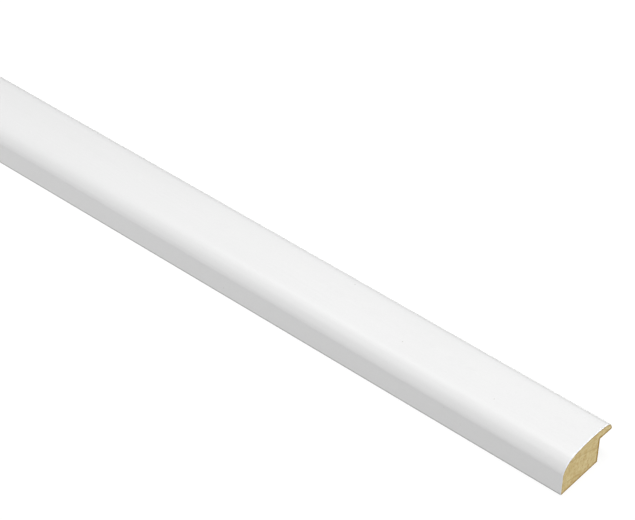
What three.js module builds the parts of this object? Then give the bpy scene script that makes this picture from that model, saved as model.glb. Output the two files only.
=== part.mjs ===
// Picture frame moulding: a straight stick of pale timber with a domed top, a round outer shoulder
// and a rebate under its lip, with one continuous white coat over the faces that show in a frame.
// Millimetres, +Z up. X runs along the stick, -Y is the frame's outside and +Y its sight edge.

import * as THREE from 'three';

// Overall size, over the coat
const LENGTH = 280;
const WIDTH = 25;
const HEIGHT = 13.7;

// Show face, over the coat
const WALL_LEAN = THREE.MathUtils.degToRad(2.4); // the outer wall leans back from upright
const KNEE_RADIUS = 1.5; // where the outer wall turns into the shoulder
const SHOULDER_RADIUS = 7;
const DOME_RADIUS = 50;
const CREST_OFFSET = 14.4; // from the outer wall to the highest line of the dome
const ROLL_OFFSET = 20; // from the outer wall to where the dome starts to roll down
const ROLL_RADIUS = 15;
const NOSE_RADIUS = 1.2; // where the roll turns into the sight edge
const NOSE_LEAN = THREE.MathUtils.degToRad(24); // the sight edge leans back from upright

// White coat
const COAT_THICKNESS = 0.35;
const WALL_COAT_THICKNESS = 0.2; // thinner down the outer wall
const NOSE_COAT_THICKNESS = 0.15; // and thinner still down the sight edge
const ARRIS = 0.1; // the coat stops this far short of the base and of the ledge

// Rebate for glass, picture and backing, square in itself but turned a little from the base
const REBATE_WIDTH = 6.2; // from the inner corner to the sight edge
const REBATE_DEPTH = 9.85; // from the inner corner to the base
const REBATE_LEAN = THREE.MathUtils.degToRad(2);
const REBATE_FILLET = 0.15; // left in the inner corner by the cutter

const CHORD_ERROR = 0.004; // of the flats that stand for an arc

// In the section x is across the stick and y is up. These are the rebate's own directions:
// along the ledge towards the sight edge, and down the wall towards the base.
const ledgeOut = new THREE.Vector2(Math.cos(REBATE_LEAN), -Math.sin(REBATE_LEAN));
const wallDown = new THREE.Vector2(-Math.sin(REBATE_LEAN), -Math.cos(REBATE_LEAN));
const rebateCorner = new THREE.Vector2(WIDTH - REBATE_WIDTH, REBATE_DEPTH);
const rebateFoot = rebateCorner.clone().addScaledVector(wallDown, -REBATE_DEPTH / wallDown.y);

// The outer wall's directions: out of it and up it
const wallNormal = new THREE.Vector2(-Math.cos(WALL_LEAN), Math.sin(WALL_LEAN));
const wallRise = new THREE.Vector2(wallNormal.y, -wallNormal.x);

// The sight edge, from its foot over the ledge
const noseNormal = new THREE.Vector2(Math.cos(NOSE_LEAN), Math.sin(NOSE_LEAN));
const noseRise = new THREE.Vector2(-noseNormal.y, noseNormal.x);
const ledgeTip = rebateCorner.clone().addScaledVector(ledgeOut, REBATE_WIDTH / ledgeOut.x);
const noseTip = new THREE.Vector2(WIDTH, ledgeTip.y - ARRIS / wallDown.y);

// The roll lies inside the dome's circle and touches it where the dome ends
const domeCentre = new THREE.Vector2(CREST_OFFSET, HEIGHT - DOME_RADIUS);
const rollStart = Math.acos((ROLL_OFFSET - CREST_OFFSET) / DOME_RADIUS);
const rollCentre = new THREE.Vector2(Math.cos(rollStart), Math.sin(rollStart))
  .multiplyScalar(DOME_RADIUS - ROLL_RADIUS)
  .add(domeCentre);

// Clockwise arc, with as many flats as keep it true
function arc(centre, radius, from, to) {
  const flat = 2 * Math.acos(1 - CHORD_ERROR / radius);
  const curve = new THREE.EllipseCurve(centre.x, centre.y, radius, radius, from, to, true);
  return curve.getPoints(Math.ceil((from - to) / flat));
}

// The shoulder lies inside the dome's circle and touches it and an upright at the outer wall's foot
function shoulderCentre(outerWall, radius, domeRadius) {
  const across = outerWall + radius - CREST_OFFSET;
  const up = Math.sqrt((domeRadius - radius) ** 2 - across ** 2);
  return new THREE.Vector2(across, up).add(domeCentre);
}

// A small round slides up beside a straight side until it touches a larger one from inside
function slidUp(foot, normal, rise, radius, largeCentre, largeRadius) {
  const start = foot.clone().addScaledVector(normal, -radius).sub(largeCentre);
  const along = start.dot(rise);
  const reach = Math.sqrt(along ** 2 - start.lengthSq() + (largeRadius - radius) ** 2);
  return start.addScaledVector(rise, reach - along).add(largeCentre);
}

// Outline of the show face from the foot of the outer wall to the foot of the sight edge, where
// depth runs from 0 at the coat's surface to 1 at the timber. Both feet slope in to the timber's
// corners, which eases the arrises.
function showFace(depth) {
  const sunk = depth * COAT_THICKNESS;
  const standOff = (1 - depth) * ARRIS;
  const wallFoot = new THREE.Vector2(depth * WALL_COAT_THICKNESS, standOff);
  const domeRadius = DOME_RADIUS - sunk;
  const rollRadius = ROLL_RADIUS - sunk;
  const shoulderRadius = SHOULDER_RADIUS - sunk;
  const shoulder = shoulderCentre(wallFoot.x, shoulderRadius, domeRadius);
  const shoulderEnd = shoulder.clone().sub(domeCentre).angle();
  const knee = slidUp(wallFoot, wallNormal, wallRise, KNEE_RADIUS, shoulder, shoulderRadius);
  const kneeEnd = knee.clone().sub(shoulder).angle();
  const sightEdge = noseTip.clone().addScaledVector(noseNormal, -depth * NOSE_COAT_THICKNESS);
  const overLedge = rebateCorner.clone().sub(sightEdge).dot(wallDown);
  const climb = (overLedge - standOff) / noseRise.dot(wallDown);
  const noseFoot = sightEdge.clone().addScaledVector(noseRise, climb);
  const nose = slidUp(sightEdge, noseNormal, noseRise, NOSE_RADIUS, rollCentre, rollRadius);
  const noseStart = nose.clone().sub(rollCentre).angle();
  return [
    wallFoot,
    ...arc(knee, KNEE_RADIUS, wallNormal.angle(), kneeEnd),
    ...arc(shoulder, shoulderRadius, kneeEnd, shoulderEnd).slice(1),
    ...arc(domeCentre, domeRadius, shoulderEnd, rollStart).slice(1),
    ...arc(rollCentre, rollRadius, rollStart, noseStart).slice(1),
    ...arc(nose, NOSE_RADIUS, noseStart, NOSE_LEAN).slice(1),
    noseFoot,
  ];
}

// Rebate from the wall's foot round the filleted corner, ending at the ledge
function rebate() {
  const centre = rebateCorner
    .clone()
    .addScaledVector(ledgeOut, REBATE_FILLET)
    .addScaledVector(wallDown, REBATE_FILLET);
  const fromWall = Math.PI - REBATE_LEAN;
  return [rebateFoot, ...arc(centre, REBATE_FILLET, fromWall, fromWall - Math.PI / 2)];
}

// A section carried along the stick and cut square at both ends
function stick(name, outline, material) {
  const section = new THREE.Shape(outline);
  const geometry = new THREE.ExtrudeGeometry(section, { depth: LENGTH, bevelEnabled: false });
  const mesh = new THREE.Mesh(geometry, material);
  mesh.name = name;
  mesh.rotation.set(Math.PI / 2, Math.PI / 2, 0); // the section's x, y and depth become Y, Z and X
  return mesh;
}

const timberFace = showFace(1);

const bareTimber = new THREE.MeshStandardMaterial({ color: 0xc9b789, roughness: 0.8, metalness: 0 });
const timber = stick('timber_moulding', [...timberFace, ...rebate().toReversed()], bareTimber);

const whitePaint = new THREE.MeshStandardMaterial({ color: 0xf3f3f1, roughness: 0.45, metalness: 0 });
const coat = stick('white_coat', [...showFace(0), ...timberFace.toReversed()], whitePaint);

const moulding = new THREE.Group();
moulding.add(timber, coat);
moulding.position.set(-LENGTH / 2, -WIDTH / 2, 0);

export default moulding;
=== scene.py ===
import bpy
import math
import numpy as np
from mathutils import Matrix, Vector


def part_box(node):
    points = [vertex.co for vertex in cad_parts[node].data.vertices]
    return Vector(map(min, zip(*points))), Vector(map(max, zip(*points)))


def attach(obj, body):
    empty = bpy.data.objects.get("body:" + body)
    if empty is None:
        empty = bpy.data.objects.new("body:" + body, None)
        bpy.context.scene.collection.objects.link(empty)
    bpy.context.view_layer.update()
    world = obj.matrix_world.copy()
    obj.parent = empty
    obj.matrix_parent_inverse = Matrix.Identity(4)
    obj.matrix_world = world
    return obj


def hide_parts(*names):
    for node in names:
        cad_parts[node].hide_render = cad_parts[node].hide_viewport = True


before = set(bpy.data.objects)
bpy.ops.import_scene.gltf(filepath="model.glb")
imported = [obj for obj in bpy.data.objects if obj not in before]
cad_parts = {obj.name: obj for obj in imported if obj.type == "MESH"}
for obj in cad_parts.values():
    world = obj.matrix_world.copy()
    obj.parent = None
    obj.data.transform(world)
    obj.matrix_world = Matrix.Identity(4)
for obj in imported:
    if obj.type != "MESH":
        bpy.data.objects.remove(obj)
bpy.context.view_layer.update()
millimetre = 0.001

# the timber stick and the white coat on it, as the CAD has them, in metres
coatLow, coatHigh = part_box("white_coat")
stickEnd = coatHigh.x
outerWall = coatLow.y
sightEdge = coatHigh.y
crest = coatHigh.z
print("frame loaded, stick", round(2 * stickEnd / millimetre), "mm long")

# section in millimetres, across from the outer wall and up from the base
section = {
    "width": (sightEdge - outerWall) / millimetre,
    "height": crest / millimetre,
    "wallLean": 2.4,      # degrees, outer wall back from upright
    "kneeRadius": 1.5,    # where the wall turns into the shoulder
    "shoulderRadius": 7.0,
    "domeRadius": 50.0,
    "crestOffset": 14.4,  # from the outer wall to the dome's highest line
    "rollOffset": 20.0,   # from the outer wall to where the dome rolls down
    "rollRadius": 15.0,
    "noseRadius": 1.2,
    "noseLean": 24.0,     # degrees, sight edge back from upright
    "coat": 0.26,
    "wallCoat": 0.04,
    "noseCoat": 0.05,
    "arris": 0.03,
    "rebateWidth": 6.15,
    "rebateDepth": 9.72,
    "rebateLean": 2.0,
    "rebateFillet": 0.15,
    "edgeRadius": 3.5,    # of the sight edge's bow between nose and tip
    "tipRadius": 0.3,     # where the sight edge meets the ledge
}


# points of a clockwise arc, from one angle to another
def arc(centre, radius, start, stop, count):
    angle = np.linspace(start, stop, count)
    return centre + radius * np.column_stack([np.cos(angle), np.sin(angle)])


def line(start, stop, count):
    return np.linspace(start, stop, count)


# joins stretches of points, dropping the first point of each later one because it repeats
def chain(*stretches):
    return np.vstack([stretches[0]] + [points[1:] for points in stretches[1:]])


# rebate corner and the directions along its ledge and down its wall
rebateLean = math.radians(section["rebateLean"])
ledgeOut = np.array([math.cos(rebateLean), -math.sin(rebateLean)])
wallDown = np.array([-math.sin(rebateLean), -math.cos(rebateLean)])
rebateCorner = np.array([section["width"] - section["rebateWidth"], section["rebateDepth"]])

# directions up the outer wall and in from it
wallLean = math.radians(section["wallLean"])
wallRise = np.array([math.sin(wallLean), math.cos(wallLean)])
wallIn = np.array([wallRise[1], -wallRise[0]])

# directions out of the sight edge and up it
noseLean = math.radians(section["noseLean"])
noseOut = np.array([math.cos(noseLean), math.sin(noseLean)])
noseRise = np.array([-noseOut[1], noseOut[0]])

# middle of the rounded tip, which touches the ledge and the widest line of the section
tipAlong = section["rebateWidth"] + (wallDown[0] - 1) * section["tipRadius"]
tipCentre = rebateCorner + ledgeOut * tipAlong / ledgeOut[0] - wallDown * section["tipRadius"]


# centre of the arc that takes in two circles and touches both, on the right of the way between them
def touching(first, firstRadius, second, secondRadius, radius):
    apart = np.linalg.norm(second - first)
    way = (second - first) / apart
    toFirst = radius - firstRadius
    along = (toFirst ** 2 - (radius - secondRadius) ** 2 + apart ** 2) / (2 * apart)
    return first + way * along + np.array([way[1], -way[0]]) * math.sqrt(toFirst ** 2 - along ** 2)


def heading(vector):
    return math.atan2(vector[1], vector[0])


# centre of a small round that slides up beside a straight side until it touches a larger round from
# inside. inward points from the side to the centre and rise points up the side
def slidUp(foot, inward, rise, radius, largeCentre, largeRadius):
    start = foot + inward * radius - largeCentre
    along = start @ rise
    reach = math.sqrt(along ** 2 - start @ start + (largeRadius - radius) ** 2)
    return largeCentre + start + rise * (reach - along)


# show face from the foot of the outer wall over knee, shoulder, dome, roll and nose to the foot of
# the sight edge: a line and six arcs that touch. depth is 0 on the coat and 1 on the timber
def showFace(depth, counts):
    s = section
    sunk = depth * s["coat"]
    wall = depth * s["wallCoat"]
    foot = np.array([wall, (1 - depth) * s["arris"]])
    domeRadius = s["domeRadius"] - sunk
    rollRadius = s["rollRadius"] - sunk
    shoulderRadius = s["shoulderRadius"] - sunk
    domeCentre = np.array([s["crestOffset"], s["height"] - s["domeRadius"]])
    rollStart = math.acos((s["rollOffset"] - s["crestOffset"]) / s["domeRadius"])
    rollReach = s["domeRadius"] - s["rollRadius"]
    rollCentre = domeCentre + rollReach * np.array([math.cos(rollStart), math.sin(rollStart)])
    across = wall + shoulderRadius - s["crestOffset"]
    up = math.sqrt((domeRadius - shoulderRadius) ** 2 - across ** 2)
    shoulderCentre = domeCentre + [across, up]
    shoulderEnd = heading([across, up])
    knee = slidUp(foot, wallIn, wallRise, s["kneeRadius"], shoulderCentre, shoulderRadius)
    kneeStop = heading(knee - shoulderCentre)
    ledgeTip = rebateCorner + ledgeOut * s["rebateWidth"] / ledgeOut[0]
    tip = np.array([s["width"], ledgeTip[1] - s["arris"] / wallDown[1]]) - noseOut * depth * s["noseCoat"]
    nose = slidUp(tip, -noseOut, noseRise, s["noseRadius"], rollCentre, rollRadius)
    lipTip = tipCentre - ledgeOut * depth * s["noseCoat"]
    edge = touching(nose, s["noseRadius"], lipTip, s["tipRadius"], s["edgeRadius"])
    noseStart = heading(nose - rollCentre)
    noseStop = heading(nose - edge)
    return chain(
        line(foot, knee - wallIn * s["kneeRadius"], counts["wall"]),
        arc(knee, s["kneeRadius"], heading(-wallIn), kneeStop, counts["knee"]),
        arc(shoulderCentre, shoulderRadius, kneeStop, shoulderEnd, counts["shoulder"]),
        arc(domeCentre, domeRadius, shoulderEnd, rollStart, counts["dome"]),
        arc(rollCentre, rollRadius, rollStart, noseStart, counts["roll"]),
        arc(nose, s["noseRadius"], noseStart, noseStop, counts["nose"]),
        arc(edge, s["edgeRadius"], noseStop, heading(lipTip - edge), counts["edge"]),
    )


# base, rebate wall, fillet, ledge and rounded tip, from the foot of the outer wall to the foot of the
# sight edge, with as many points as the show face and the rebate corner under its own place there
def bareFace(counts):
    s = section
    top = showFace(1, counts)
    wallFoot = rebateCorner + wallDown * -s["rebateDepth"] / wallDown[1]
    fillet = s["rebateFillet"]
    centre = rebateCorner + fillet * (ledgeOut + wallDown)
    turn = arc(centre, fillet, math.pi - rebateLean, math.pi / 2 - rebateLean, counts["nose"])
    lipTip = tipCentre - ledgeOut * s["noseCoat"]
    tip = arc(lipTip, s["tipRadius"], heading(wallDown), heading(top[-1] - lipTip), counts["edge"])
    base = counts["wall"] + counts["knee"] + counts["shoulder"]
    outside = np.count_nonzero(top[:, 0] < rebateCorner[0])
    ledge = len(top) - outside - len(turn) - len(tip) + 3  # three joins share a point
    return chain(
        line(top[0], wallFoot, base),
        line(wallFoot, turn[0], outside - base + 1),
        turn,
        line(turn[-1], tip[0], ledge),
        tip,
    )


# even noise of about unit height: a sum of plane waves with seeded directions and phases
def planeWaves(points, wavelengths, seed, count=40):
    random = np.random.default_rng(seed)
    low, high = np.array(wavelengths, float).T
    size = 1 / (low + (high - low) * random.random((count, len(low))))
    waves = 2 * math.pi * size * random.choice([-1, 1], size.shape)
    phase = 2 * math.pi * random.random(count)
    return np.cos(points @ waves.T + phase).sum(axis=-1) * math.sqrt(2 / count)


# closed mesh from vertices in millimetres and faces, smooth but for edges sharper than the angle
def addPiece(name, vertices, faces, sharpDegrees):
    mesh = bpy.data.meshes.new(name)
    mesh.from_pydata((np.asarray(vertices) * millimetre).tolist(), [], faces)
    mesh.validate()
    mesh.shade_smooth()
    mesh.set_sharp_from_angle(angle=math.radians(sharpDegrees))
    piece = bpy.data.objects.new(name, mesh)
    bpy.context.scene.collection.objects.link(piece)
    return piece


# one number for each vertex or face of a piece
def addAttribute(piece, name, domain, values):
    attribute = piece.data.attributes.new(name, "FLOAT", domain)
    attribute.data.foreach_set("value", np.ascontiguousarray(values, dtype=np.float32).ravel())


# quads between neighbours on a grid of vertex numbers
def gridQuads(index):
    corners = [index[:-1, :-1], index[1:, :-1], index[1:, 1:], index[:-1, 1:]]
    return np.stack(corners, axis=-1).reshape(-1, 4)


# places along the stick: close together at both cut ends, even between them
def stations(nearEnd, spacing):
    half = stickEnd / millimetre
    inner = half - nearEnd[-1]
    middle = np.linspace(-inner, inner, round(2 * inner / spacing) + 1)
    ends = half - np.array(nearEnd[:-1])
    return np.concatenate([-ends, middle, ends[::-1]])


coat = {
    "counts": {"wall": 48, "knee": 16, "shoulder": 64, "dome": 84, "roll": 36, "nose": 24, "edge": 12},
    "nearEnd": [0, 0.02, 0.05, 0.09, 0.14, 0.2, 0.26, 0.36, 0.48, 0.8, 1.5],  # mm from a cut
    "spacing": 2.8,
    "ease": 0.26,      # mm along the stick over which the saw has broken the coat's edge
    "easeShare": 0.85,  # of the coat's thickness
    "dragHeight": 0.004,  # mm, lines left along the stick by the gesso die
    "dragWaves": [(1.1, 4.5), (90, 600)],  # mm across and along
    "seed": 11,
    "cutWidth": 0.48,  # mm beside a cut of a lighter band, partly bared priming and partly a painted highlight, where the coat is thick
    "cutGain": 2.2,    # full for a little way before it fades
    "cutFade": 0.6,    # power by which it goes with the coat's thickness
    "cutEnd": 4.0,     # mm before the nose over which it ends
    "footShade": 0.65,   # mm of painted shade up from the wall's foot, a grey line where the wall meets the floor
    "noseShade": 1.2,    # mm of painted shade on each side of the nose
    "noseShadeShare": 0.33,
    "sharp": 40,
}


# the coat: an outer and an inner line of the show face carried along the stick, the outer one
# sinking in a quarter round at the cuts, joined at the feet and closed by ribbons at the ends
def makeCoat():
    x = stations(coat["nearEnd"], coat["spacing"])
    outer = showFace(0, coat["counts"])
    inner = showFace(1, coat["counts"])
    count = len(outer)
    fromCut = stickEnd / millimetre - np.abs(x)
    share = coat["easeShare"] * (1 - np.sqrt(1 - (1 - np.clip(fromCut / coat["ease"], 0, 1)) ** 2))
    inward = inner - outer
    thickness = np.linalg.norm(inward, axis=1)
    steps = np.linalg.norm(np.diff(outer, axis=0), axis=1)
    across = np.concatenate([[0], np.cumsum(steps)])
    where = np.stack(np.broadcast_arrays(across[None, :], x[:, None]), axis=-1)
    drag = coat["dragHeight"] * planeWaves(where, coat["dragWaves"], coat["seed"])
    drag = drag * np.sqrt(np.sin(math.pi * np.linspace(0, 1, count))) / thickness
    top = outer + (share[:, None] + drag)[..., None] * inward
    under = np.broadcast_to(inner, top.shape)
    loop = np.concatenate([top, under[:, ::-1]], axis=1)
    along = np.broadcast_to(x[:, None, None], loop.shape[:2] + (1,))
    vertices = np.concatenate([along, loop], axis=2) + [0, outerWall / millimetre, 0]
    index = np.arange(len(x) * 2 * count).reshape(len(x), 2 * count)
    sides = gridQuads(np.column_stack([index, index[:, 0]]))
    ribbon = np.stack([index[:, :count], index[:, :count - 1:-1]], axis=1)
    faces = np.vstack([sides, gridQuads(ribbon[0])[:, ::-1], gridQuads(ribbon[-1])])
    piece = addPiece("white_coat_skin", vertices.reshape(-1, 3), faces.tolist(), coat["sharp"])
    noseMiddle = across[-coat["counts"]["edge"] - coat["counts"]["nose"] // 2]
    # painted shade: a grey band up from the wall's foot and a fainter one along the nose
    onFoot = np.clip(1 - across / coat["footShade"], 0, 1)
    onNose = np.clip(1 - np.abs(across - noseMiddle) / coat["noseShade"], 0, 1) * coat["noseShadeShare"]
    rubbed = np.maximum(onFoot, onNose)
    rubbed = np.concatenate([rubbed, rubbed[::-1]])
    # a lighter band beside each cut, partly bared priming and partly a painted highlight on the eased
    # edge, full where the coat is thick
    beside = np.clip(coat["cutGain"] * (1 - fromCut / coat["cutWidth"]), 0, 1)
    fullness = (thickness / thickness.max()) ** coat["cutFade"]
    primingHighlightShare = np.outer(beside, fullness * np.clip((noseMiddle - across) / coat["cutEnd"], 0, 1))
    primingHighlightShare = np.concatenate([primingHighlightShare, primingHighlightShare[:, ::-1]], axis=1)
    addAttribute(piece, "paintedEdgeShade", "POINT", np.broadcast_to(rubbed, index.shape))
    addAttribute(piece, "cutPrimingAndHighlight", "POINT", primingHighlightShare)
    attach(piece, "root")
    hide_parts("white_coat")
    return piece


timber = {
    "counts": {"wall": 36, "knee": 10, "shoulder": 40, "dome": 70, "roll": 24, "nose": 14, "edge": 12},
    "across": 64,      # steps from the show face to the bare faces over a cut end
    "crowding": 0.13,  # of those steps towards the edges
    "nearEnd": [0, 0.3, 1.0],
    "spacing": 9.0,
    "bareRim": 0.8,    # mm, darkened edge of a saw cut along the bare faces
    "wallRimGain": 0.5,  # it is this much wider at the rebate wall
    "wallRimReach": 1.6,  # mm from the wall
    "coatRim": 0.75,   # mm, and beside the coat
    "coatRimShare": 0.42,
    "coatRimStart": 1.5,  # mm from the outer wall before that is full
    "rimGain": 1.65,   # full for a little way before it fades
    "sawRadius": 130.0,  # mm, of the blade
    "sawAcross": 0.3,  # of the width, where the blade's middle lies under the base
    "sawPitch": 1.1,   # mm between the scores it leaves
    "sawDepth": 0.005,
    "fibreDepth": 0.012,
    "fibreWaves": [(0.6, 1.8), (0.6, 1.8)],
    "seed": 5,
    "sharp": 40,
}


# a cut end: points ruled from the show face to the bare faces, how dark each is by its
# distance from the edge, and how far it is sunk by arcs of the saw blade and waves of torn fibre,
# which fade towards the edge
def sawnEnd(top, under):
    share = np.linspace(0, 1, timber["across"])
    share = share - timber["crowding"] * np.sin(2 * math.pi * share)
    share = share[None, :, None]
    face = (1 - share) * top[:, None] + share * under[:, None]
    fromCoat = np.min(np.linalg.norm(face[:, :, None] - top, axis=-1), axis=-1)
    fromBare = np.min(np.linalg.norm(face[:, :, None] - under, axis=-1), axis=-1)
    fromWall = np.abs((face - rebateCorner) @ ledgeOut)
    rimWidth = 1 + timber["wallRimGain"] * np.clip(1 - fromWall / timber["wallRimReach"], 0, 1)
    bareRim = np.clip(timber["rimGain"] * (1 - fromBare / (timber["bareRim"] * rimWidth)), 0, 1)
    coatRim = np.clip(timber["rimGain"] * (1 - fromCoat / timber["coatRim"]), 0, 1)
    coatRim = coatRim * np.clip(face[..., 0] / timber["coatRimStart"], 0, 1)
    rim = np.maximum(bareRim, coatRim * timber["coatRimShare"])
    bladeMiddle = [section["width"] * timber["sawAcross"], -timber["sawRadius"]]
    blade = np.linalg.norm(face - bladeMiddle, axis=-1)
    scores = 0.5 + 0.5 * np.cos(2 * math.pi * blade / timber["sawPitch"])
    fibre = np.abs(planeWaves(face, timber["fibreWaves"], timber["seed"]))
    sunk = timber["sawDepth"] * scores + timber["fibreDepth"] * fibre
    sunk = sunk * np.clip(np.minimum(fromCoat, fromBare) / timber["bareRim"], 0, 1)
    return face, rim, sunk


# the stick: show face and bare faces carried along it, and a sawn end fitted to each end's outline
def makeTimber():
    x = stations(timber["nearEnd"], timber["spacing"])
    top = showFace(1, timber["counts"])
    under = bareFace(timber["counts"])
    count = len(top)
    loop = np.vstack([top, under[-2:0:-1]])
    ring = np.concatenate([
        np.broadcast_to(x[:, None, None], (len(x), len(loop), 1)),
        np.broadcast_to(loop, (len(x),) + loop.shape),
    ], axis=2)
    index = np.arange(len(x) * len(loop)).reshape(len(x), len(loop))
    sides = gridQuads(np.column_stack([index, index[:, 0]]))
    face, rim, sunk = sawnEnd(top, under)
    vertices, faces, rims = [ring.reshape(-1, 3)], [sides], [np.zeros(index.size)]
    number = index.size
    fans = []
    # each end is a grid inside the outline, with its first and last rows drawn together at the feet
    for end, side in ((0, -1), (len(x) - 1, 1)):
        cap = np.empty(face.shape[:2], int)
        inside = np.arange((count - 2) * (timber["across"] - 2)).reshape(count - 2, -1) + number
        cap[1:-1, 1:-1] = inside
        cap[:, 0] = index[end, :count]
        cap[1:-1, -1] = index[end, :count - 1:-1]
        cap[0], cap[-1] = cap[0, 0], cap[-1, 0]
        number += inside.size
        place = np.concatenate([x[end] - side * sunk[..., None], face], axis=2)
        vertices.append(place[1:-1, 1:-1].reshape(-1, 3))
        rims.append(rim[1:-1, 1:-1].ravel())
        rims[0][index[end]] = np.concatenate([rim[:, 0], rim[-2:0:-1, -1]])
        quads = gridQuads(cap[1:-1])
        first = np.column_stack([np.full(timber["across"] - 1, cap[0, 0]), cap[1, :-1], cap[1, 1:]])
        last = np.column_stack([cap[-2, :-1], np.full(timber["across"] - 1, cap[-1, 0]), cap[-2, 1:]])
        turn = slice(None, None, 1 if side < 0 else -1)
        faces.append(quads[:, turn])
        fans.append(np.vstack([first, last])[:, turn])
    quads, fans = np.vstack(faces), np.vstack(fans)
    vertices = np.vstack(vertices) + [0, outerWall / millimetre, 0]
    piece = addPiece("timber_stick", vertices, quads.tolist() + fans.tolist(), timber["sharp"])
    endGrain = np.ones(len(quads) + len(fans))
    endGrain[:len(sides)] = 0
    addAttribute(piece, "cutRim", "POINT", np.concatenate(rims))
    addAttribute(piece, "endGrain", "FACE", endGrain)
    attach(piece, "root")
    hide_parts("timber_moulding")
    return piece


coatPiece = makeCoat()
timberPiece = makeTimber()
print("pieces made:", len(coatPiece.data.polygons), "and", len(timberPiece.data.polygons), "faces")


# sRGB hex to linear colour
def colour(code):
    value = np.array([int(code[i:i + 2], 16) for i in (1, 3, 5)]) / 255
    linear = np.where(value <= 0.04045, value / 12.92, ((value + 0.055) / 1.055) ** 2.4)
    return (*linear.tolist(), 1.0)


# adds a node, with settings on the node itself and values or links on its inputs
def addNode(tree, kind, inputs, **settings):
    node = tree.nodes.new("ShaderNode" + kind)
    for name, value in settings.items():
        setattr(node, name, value)
    for name, value in inputs.items():
        if isinstance(value, bpy.types.NodeSocket):
            tree.links.new(value, node.inputs[name])
        else:
            node.inputs[name].default_value = value
    return node


def newMaterial(name):
    material = bpy.data.materials.new(name)
    material.use_nodes = True
    tree = material.node_tree
    return material, tree, tree.nodes["Principled BSDF"]


# noises on Object coordinates, each from its grain size in mm across and along the stick
def grains(tree, sizes):
    place = addNode(tree, "TexCoord", {}).outputs["Object"]
    found = {}
    for name, (across, along, detail) in sizes.items():
        scale = (1 / (along * millimetre), 1 / (across * millimetre), 1 / (across * millimetre))
        spot = addNode(tree, "Mapping", {"Vector": place, "Scale": scale}).outputs["Vector"]
        noise = addNode(tree, "TexNoise", {"Vector": spot, "Scale": 1.0, "Detail": detail})
        found[name] = noise.outputs["Fac"]
    return place, found


paint = {
    "white": "#EDEDED",
    "priming": "#F5F8FF",  # lighter band at a cut: partly bared priming, partly a painted highlight
    "rubbed": "#A8A8A7",   # painted shade along the foot and the nose
    "speck": "#CECCC8",
    "roughness": (0.18, 0.24),
    "ior": 1.5,
    # mm across and along, detail
    "grains": {
        "tooth": (0.5, 0.5, 2.0),    # pigment grit, really under 0.1 mm, drawn coarser so that it shows
        "peel": (1.3, 1.6, 1.0),     # slight orange peel of a sprayed coat
        "cloud": (14.0, 60.0, 2.0),  # thin and thick places
    },
    "toothSwing": 0.022,      # of the brightness, from one extreme of the noise to the other
    "cloudSwing": 0.02,
    "peelHeight": 0.0012,     # mm
    "speckSpacing": 8.0,      # mm, dust nibs caught in the coat
    "speckRadius": 0.24,      # mm
}


# gesso and satin white paint, sprayed and levelled: smooth and neutral, with a soft broad sheen, a
# fine tooth, a few dust nibs, a lighter band at the cuts that is partly bared priming and partly a painted
# highlight, and painted shade along the foot and the nose
def satinWhitePaint():
    material, tree, shader = newMaterial("satin_white_paint")
    place, grain = grains(tree, paint["grains"])
    nib = addNode(tree, "TexVoronoi", {"Vector": place, "Scale": 1 / (paint["speckSpacing"] * millimetre)})
    radius = paint["speckRadius"] / paint["speckSpacing"]
    speck = addNode(tree, "MapRange", {
        "Value": nib.outputs["Distance"], "From Min": radius, "From Max": radius / 2,
    }, interpolation_type="SMOOTHSTEP")
    # painted shade: grey along the wall's foot and along the nose
    rubbed = addNode(tree, "Attribute", {}, attribute_name="paintedEdgeShade")
    # lighter band beside each cut: partly bared priming, partly a painted highlight on the eased edge
    primingHighlightShare = addNode(tree, "Attribute", {}, attribute_name="cutPrimingAndHighlight")
    layers = (
        (speck.outputs["Result"], "speck"),
        (rubbed.outputs["Fac"], "rubbed"),
        (primingHighlightShare.outputs["Fac"], "priming"),
    )
    tint = colour(paint["white"])
    for amount, name in layers:
        layer = addNode(tree, "MixRGB", {"Fac": amount, "Color1": tint, "Color2": colour(paint[name])})
        tint = layer.outputs["Color"]
    for name in ("tooth", "cloud"):
        swing = paint[name + "Swing"]
        value = addNode(tree, "MapRange", {"Value": grain[name], "To Min": 1 - swing, "To Max": 1 + swing})
        shade = addNode(tree, "HueSaturation", {"Value": value.outputs["Result"], "Color": tint})
        tint = shade.outputs["Color"]
    gloss = addNode(tree, "MapRange", {
        "Value": grain["cloud"], "To Min": paint["roughness"][0], "To Max": paint["roughness"][1],
    })
    bump = addNode(tree, "Bump", {"Height": grain["peel"], "Distance": paint["peelHeight"] * millimetre})
    tree.links.new(tint, shader.inputs["Base Color"])
    tree.links.new(gloss.outputs["Result"], shader.inputs["Roughness"])
    tree.links.new(bump.outputs["Normal"], shader.inputs["Normal"])
    shader.inputs["IOR"].default_value = paint["ior"]
    return material


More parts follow.
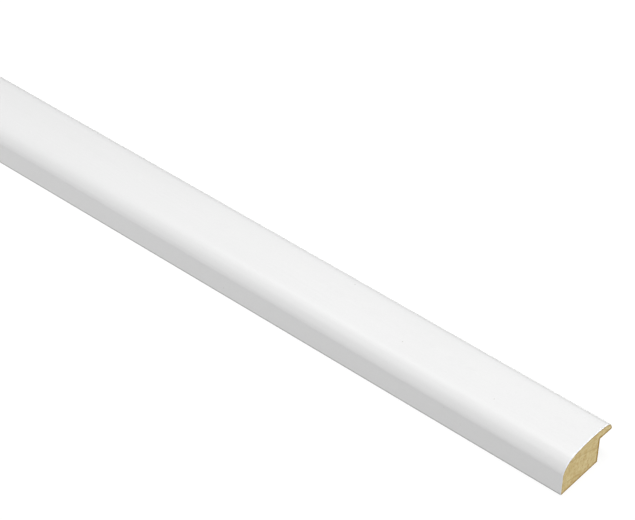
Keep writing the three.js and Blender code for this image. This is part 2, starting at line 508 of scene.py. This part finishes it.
wood = {
    "sidePale": "#D3C296",
    "sideLate": "#BFA878",
    "endPale": "#D9C894",
    "endLate": "#AF9963",
    "fleck": "#AE7F42",
    "rim": "#9C7718",
    "pith": (-21.3, -47.4),  # mm, the tree's middle, from the middle of the base
    "firstRing": 52.4,     # mm from it
    "ringSpacing": 7.75,
    "lateWidth": 0.4,      # mm on each side of a ring's line
    "lateShare": 0.5,
    "ringWander": 0.4,
    # mm across and along, detail
    "grains": {
        "wander": (6.0, 70.0, 2.0),
        "mottle": (1.1, 18.0, 2.0),   # bundles of fibre, much finer in life, drawn as coarse as shows
        "tone": (3.5, 50.0, 1.0),
        "fleck": (0.7, 9.0, 1.0),
        "pores": (0.4, 6.0, 2.0),
    },
    "brown": "#BA9A54",    # where the fibre is closer
    "mottleRange": (0.38, 0.68),  # of the noise, from pale to brown
    "mottleShare": 0.52,
    "toneRange": (0.35, 0.7),
    "toneShare": 0.34,
    "fleckRange": (0.62, 0.74),
    "fleckShare": 0.5,
    "canalSpacing": (2.2, 35.0),  # mm across and along, resin canals: dots on the ends, streaks beside
    "canalRadius": 0.62,   # mm, really a third of that, drawn coarser so that they show
    "canalShare": 0.58,
    "poreHeight": 0.02,    # mm
    "planerPitch": 1.6,    # mm between the knives' marks on the long faces
    "planerHeight": 0.004,
    "roughness": (0.7, 0.85),  # planed, sawn
}


# pale softwood, planed on its long faces and sawn across: dull, straight-grained, with wide rings
# that show as faint darker lines on the ends, mottled fibre, resin canals and a darker rim along the edges
# of the sawn ends
def bareSoftwood():
    material, tree, shader = newMaterial("planed_and_sawn_softwood")
    place, grain = grains(tree, wood["grains"])
    cut = addNode(tree, "Attribute", {}, attribute_name="endGrain").outputs["Fac"]
    # distance from the nearest ring, in mm, round a pith that runs along the stick
    fromPith = addNode(tree, "Mapping", {
        "Vector": place, "Scale": (0, 1 / millimetre, 1 / millimetre),
        "Location": (0, -wood["pith"][0], -wood["pith"][1]),
    })
    radius = addNode(tree, "VectorMath", {0: fromPith.outputs["Vector"]}, operation="LENGTH")
    bent = addNode(tree, "Math", {
        0: grain["wander"], 1: wood["ringWander"], 2: radius.outputs["Value"],
    }, operation="MULTIPLY_ADD")
    start = addNode(tree, "Math", {
        0: bent.outputs["Value"], 1: wood["firstRing"] + wood["ringWander"] / 2,
    }, operation="SUBTRACT")
    away = addNode(tree, "Math", {
        0: start.outputs["Value"], 1: wood["ringSpacing"] / 2,
    }, operation="PINGPONG")
    late = addNode(tree, "MapRange", {
        "Value": away.outputs["Value"], "From Min": wood["lateWidth"], "From Max": 0.0,
        "To Max": wood["lateShare"],
    }, interpolation_type="SMOOTHSTEP")
    pale = addNode(tree, "MixRGB", {
        "Fac": cut, "Color1": colour(wood["sidePale"]), "Color2": colour(wood["endPale"]),
    })
    dark = addNode(tree, "MixRGB", {
        "Fac": cut, "Color1": colour(wood["sideLate"]), "Color2": colour(wood["endLate"]),
    })
    tint = addNode(tree, "MixRGB", {
        "Fac": late.outputs["Result"], "Color1": pale.outputs["Color"], "Color2": dark.outputs["Color"],
    }).outputs["Color"]
    for name, shade in (("mottle", "brown"), ("tone", "brown"), ("fleck", "fleck")):
        amount = addNode(tree, "MapRange", {
            "Value": grain[name], "From Min": wood[name + "Range"][0], "From Max": wood[name + "Range"][1],
            "To Max": wood[name + "Share"],
        })
        tint = addNode(tree, "MixRGB", {
            "Fac": amount.outputs["Result"], "Color1": tint, "Color2": colour(wood[shade]),
        }).outputs["Color"]
    # resin canals: the nearest of scattered points, in cells drawn out along the stick
    across, along = (1 / (size * millimetre) for size in wood["canalSpacing"])
    cells = addNode(tree, "Mapping", {"Vector": place, "Scale": (along, across, across)})
    canal = addNode(tree, "TexVoronoi", {"Vector": cells.outputs["Vector"], "Scale": 1.0})
    dot = addNode(tree, "MapRange", {
        "Value": canal.outputs["Distance"], "From Min": wood["canalRadius"] / wood["canalSpacing"][0],
        "From Max": 0.0, "To Max": wood["canalShare"],
    }, interpolation_type="SMOOTHSTEP")
    tint = addNode(tree, "MixRGB", {
        "Fac": dot.outputs["Result"], "Color1": tint, "Color2": colour(wood["fleck"]),
    }).outputs["Color"]
    # darker towards the edges of the sawn ends, wider at the rebate wall
    rim = addNode(tree, "Attribute", {}, attribute_name="cutRim")
    darkRim = addNode(tree, "Math", {0: rim.outputs["Fac"], 1: cut}, operation="MULTIPLY")
    tint = addNode(tree, "MixRGB", {
        "Fac": darkRim.outputs["Value"], "Color1": tint, "Color2": colour(wood["rim"]),
    }).outputs["Color"]
    dull = addNode(tree, "MapRange", {
        "Value": cut, "To Min": wood["roughness"][0], "To Max": wood["roughness"][1],
    })
    # knife marks along the stick, then open pores over them
    lengthwise = addNode(tree, "SeparateXYZ", {"Vector": place}).outputs["X"]
    turn = addNode(tree, "Math", {
        0: lengthwise, 1: 2 * math.pi / (wood["planerPitch"] * millimetre),
    }, operation="MULTIPLY")
    knife = addNode(tree, "Math", {0: turn.outputs["Value"]}, operation="SINE")
    planed = addNode(tree, "Bump", {
        "Height": knife.outputs["Value"], "Distance": wood["planerHeight"] * millimetre,
    })
    bump = addNode(tree, "Bump", {
        "Height": grain["pores"], "Distance": wood["poreHeight"] * millimetre,
        "Normal": planed.outputs["Normal"],
    })
    tree.links.new(tint, shader.inputs["Base Color"])
    tree.links.new(dull.outputs["Result"], shader.inputs["Roughness"])
    tree.links.new(bump.outputs["Normal"], shader.inputs["Normal"])
    return material


coatPiece.data.materials.append(satinWhitePaint())
timberPiece.data.materials.append(bareSoftwood())
print("materials made")

# camera at the photograph's view: placed from the near end's lower outer corner, in metres
view = {
    "fromCorner": (0.284408, -0.442764, 0.556157),
    "azimuth": 40.71,
    "pitch": 41.53,
    "focalPixels": 2521.7,
    "imageWidth": 635,
    "sensor": 36.0,
    "clipStart": 0.01,
}


def addCamera():
    data = bpy.data.cameras.new("camera")
    data.sensor_width = view["sensor"]
    data.lens = view["sensor"] * view["focalPixels"] / view["imageWidth"]
    data.clip_start = view["clipStart"]
    camera = bpy.data.objects.new("camera", data)
    camera.location = np.array(view["fromCorner"]) + [stickEnd, outerWall, 0]
    camera.rotation_euler = (math.radians(90 - view["pitch"]), 0, math.radians(view["azimuth"]))
    bpy.context.scene.collection.objects.link(camera)
    bpy.context.scene.camera = camera


studio = {
    "floorSize": 8.0,
    "floorColour": "#4F4F4F",
    "floorRoughness": 0.9,
    "white": "#FFFFFF",    # of the floor's glow and of the room
    "floorGlow": (0.918, 0.976),  # of a lit table, beside the near end and the far end
    "worldStrength": 0.03,
    # place and aim in metres, width and height of the panel, watts
    "panels": {
        "overhead": ((0.1, 0.125, 0.995), (0.1, 0.0, 0.0), (0.45, 0.34), 9.6),
        "overFar": ((-0.5, 0.05, 0.95), (-0.05, 0.0, 0.0), (0.5, 0.3), 0.5),
        "nearEnd": ((1.369, 0.0, 0.291), (0.0, 0.0, 0.0), (0.8, 0.5), 5.3),
        "leftSide": ((-0.904, -0.633, 0.862), (0.0, 0.0, 0.0), (1.0, 0.9), 1.87),
        "lowBounce": ((-0.689, -0.983, 0.22), (0.0, 0.0, 0.1), (1.0, 0.36), 1.3),
    },
}


def addStudio():
    half = studio["floorSize"] / 2
    mesh = bpy.data.meshes.new("floor")
    corners = [(-half, -half, 0), (half, -half, 0), (half, half, 0), (-half, half, 0)]
    mesh.from_pydata(corners, [], [(0, 1, 2, 3)])
    floor = bpy.data.objects.new("floor", mesh)
    bpy.context.scene.collection.objects.link(floor)
    material, tree, shader = newMaterial("pale_floor")
    shader.inputs["Base Color"].default_value = colour(studio["floorColour"])
    shader.inputs["Roughness"].default_value = studio["floorRoughness"]
    shader.inputs["Emission Color"].default_value = colour(studio["white"])
    place = addNode(tree, "TexCoord", {}).outputs["Object"]
    along = addNode(tree, "SeparateXYZ", {"Vector": place}).outputs["X"]
    glow = addNode(tree, "MapRange", {
        "Value": along, "From Min": stickEnd, "From Max": -stickEnd,
        "To Min": studio["floorGlow"][0], "To Max": studio["floorGlow"][1],
    })
    tree.links.new(glow.outputs["Result"], shader.inputs["Emission Strength"])
    mesh.materials.append(material)
    world = bpy.data.worlds.new("studio")
    world.use_nodes = True
    background = world.node_tree.nodes["Background"]
    background.inputs["Color"].default_value = colour(studio["white"])
    background.inputs["Strength"].default_value = studio["worldStrength"]
    bpy.context.scene.world = world
    for name, (place, aim, size, power) in studio["panels"].items():
        data = bpy.data.lights.new(name, "AREA")
        data.shape = "RECTANGLE"
        data.size, data.size_y = size
        data.energy = power
        lamp = bpy.data.objects.new(name, data)
        lamp.location = place
        lamp.visible_camera = False
        direction = Vector(aim) - lamp.location
        lamp.rotation_euler = direction.to_track_quat("-Z", "Y").to_euler()
        bpy.context.scene.collection.objects.link(lamp)
    bpy.context.scene.view_settings.view_transform = "Standard"


addCamera()
addStudio()
print("camera and studio ready")
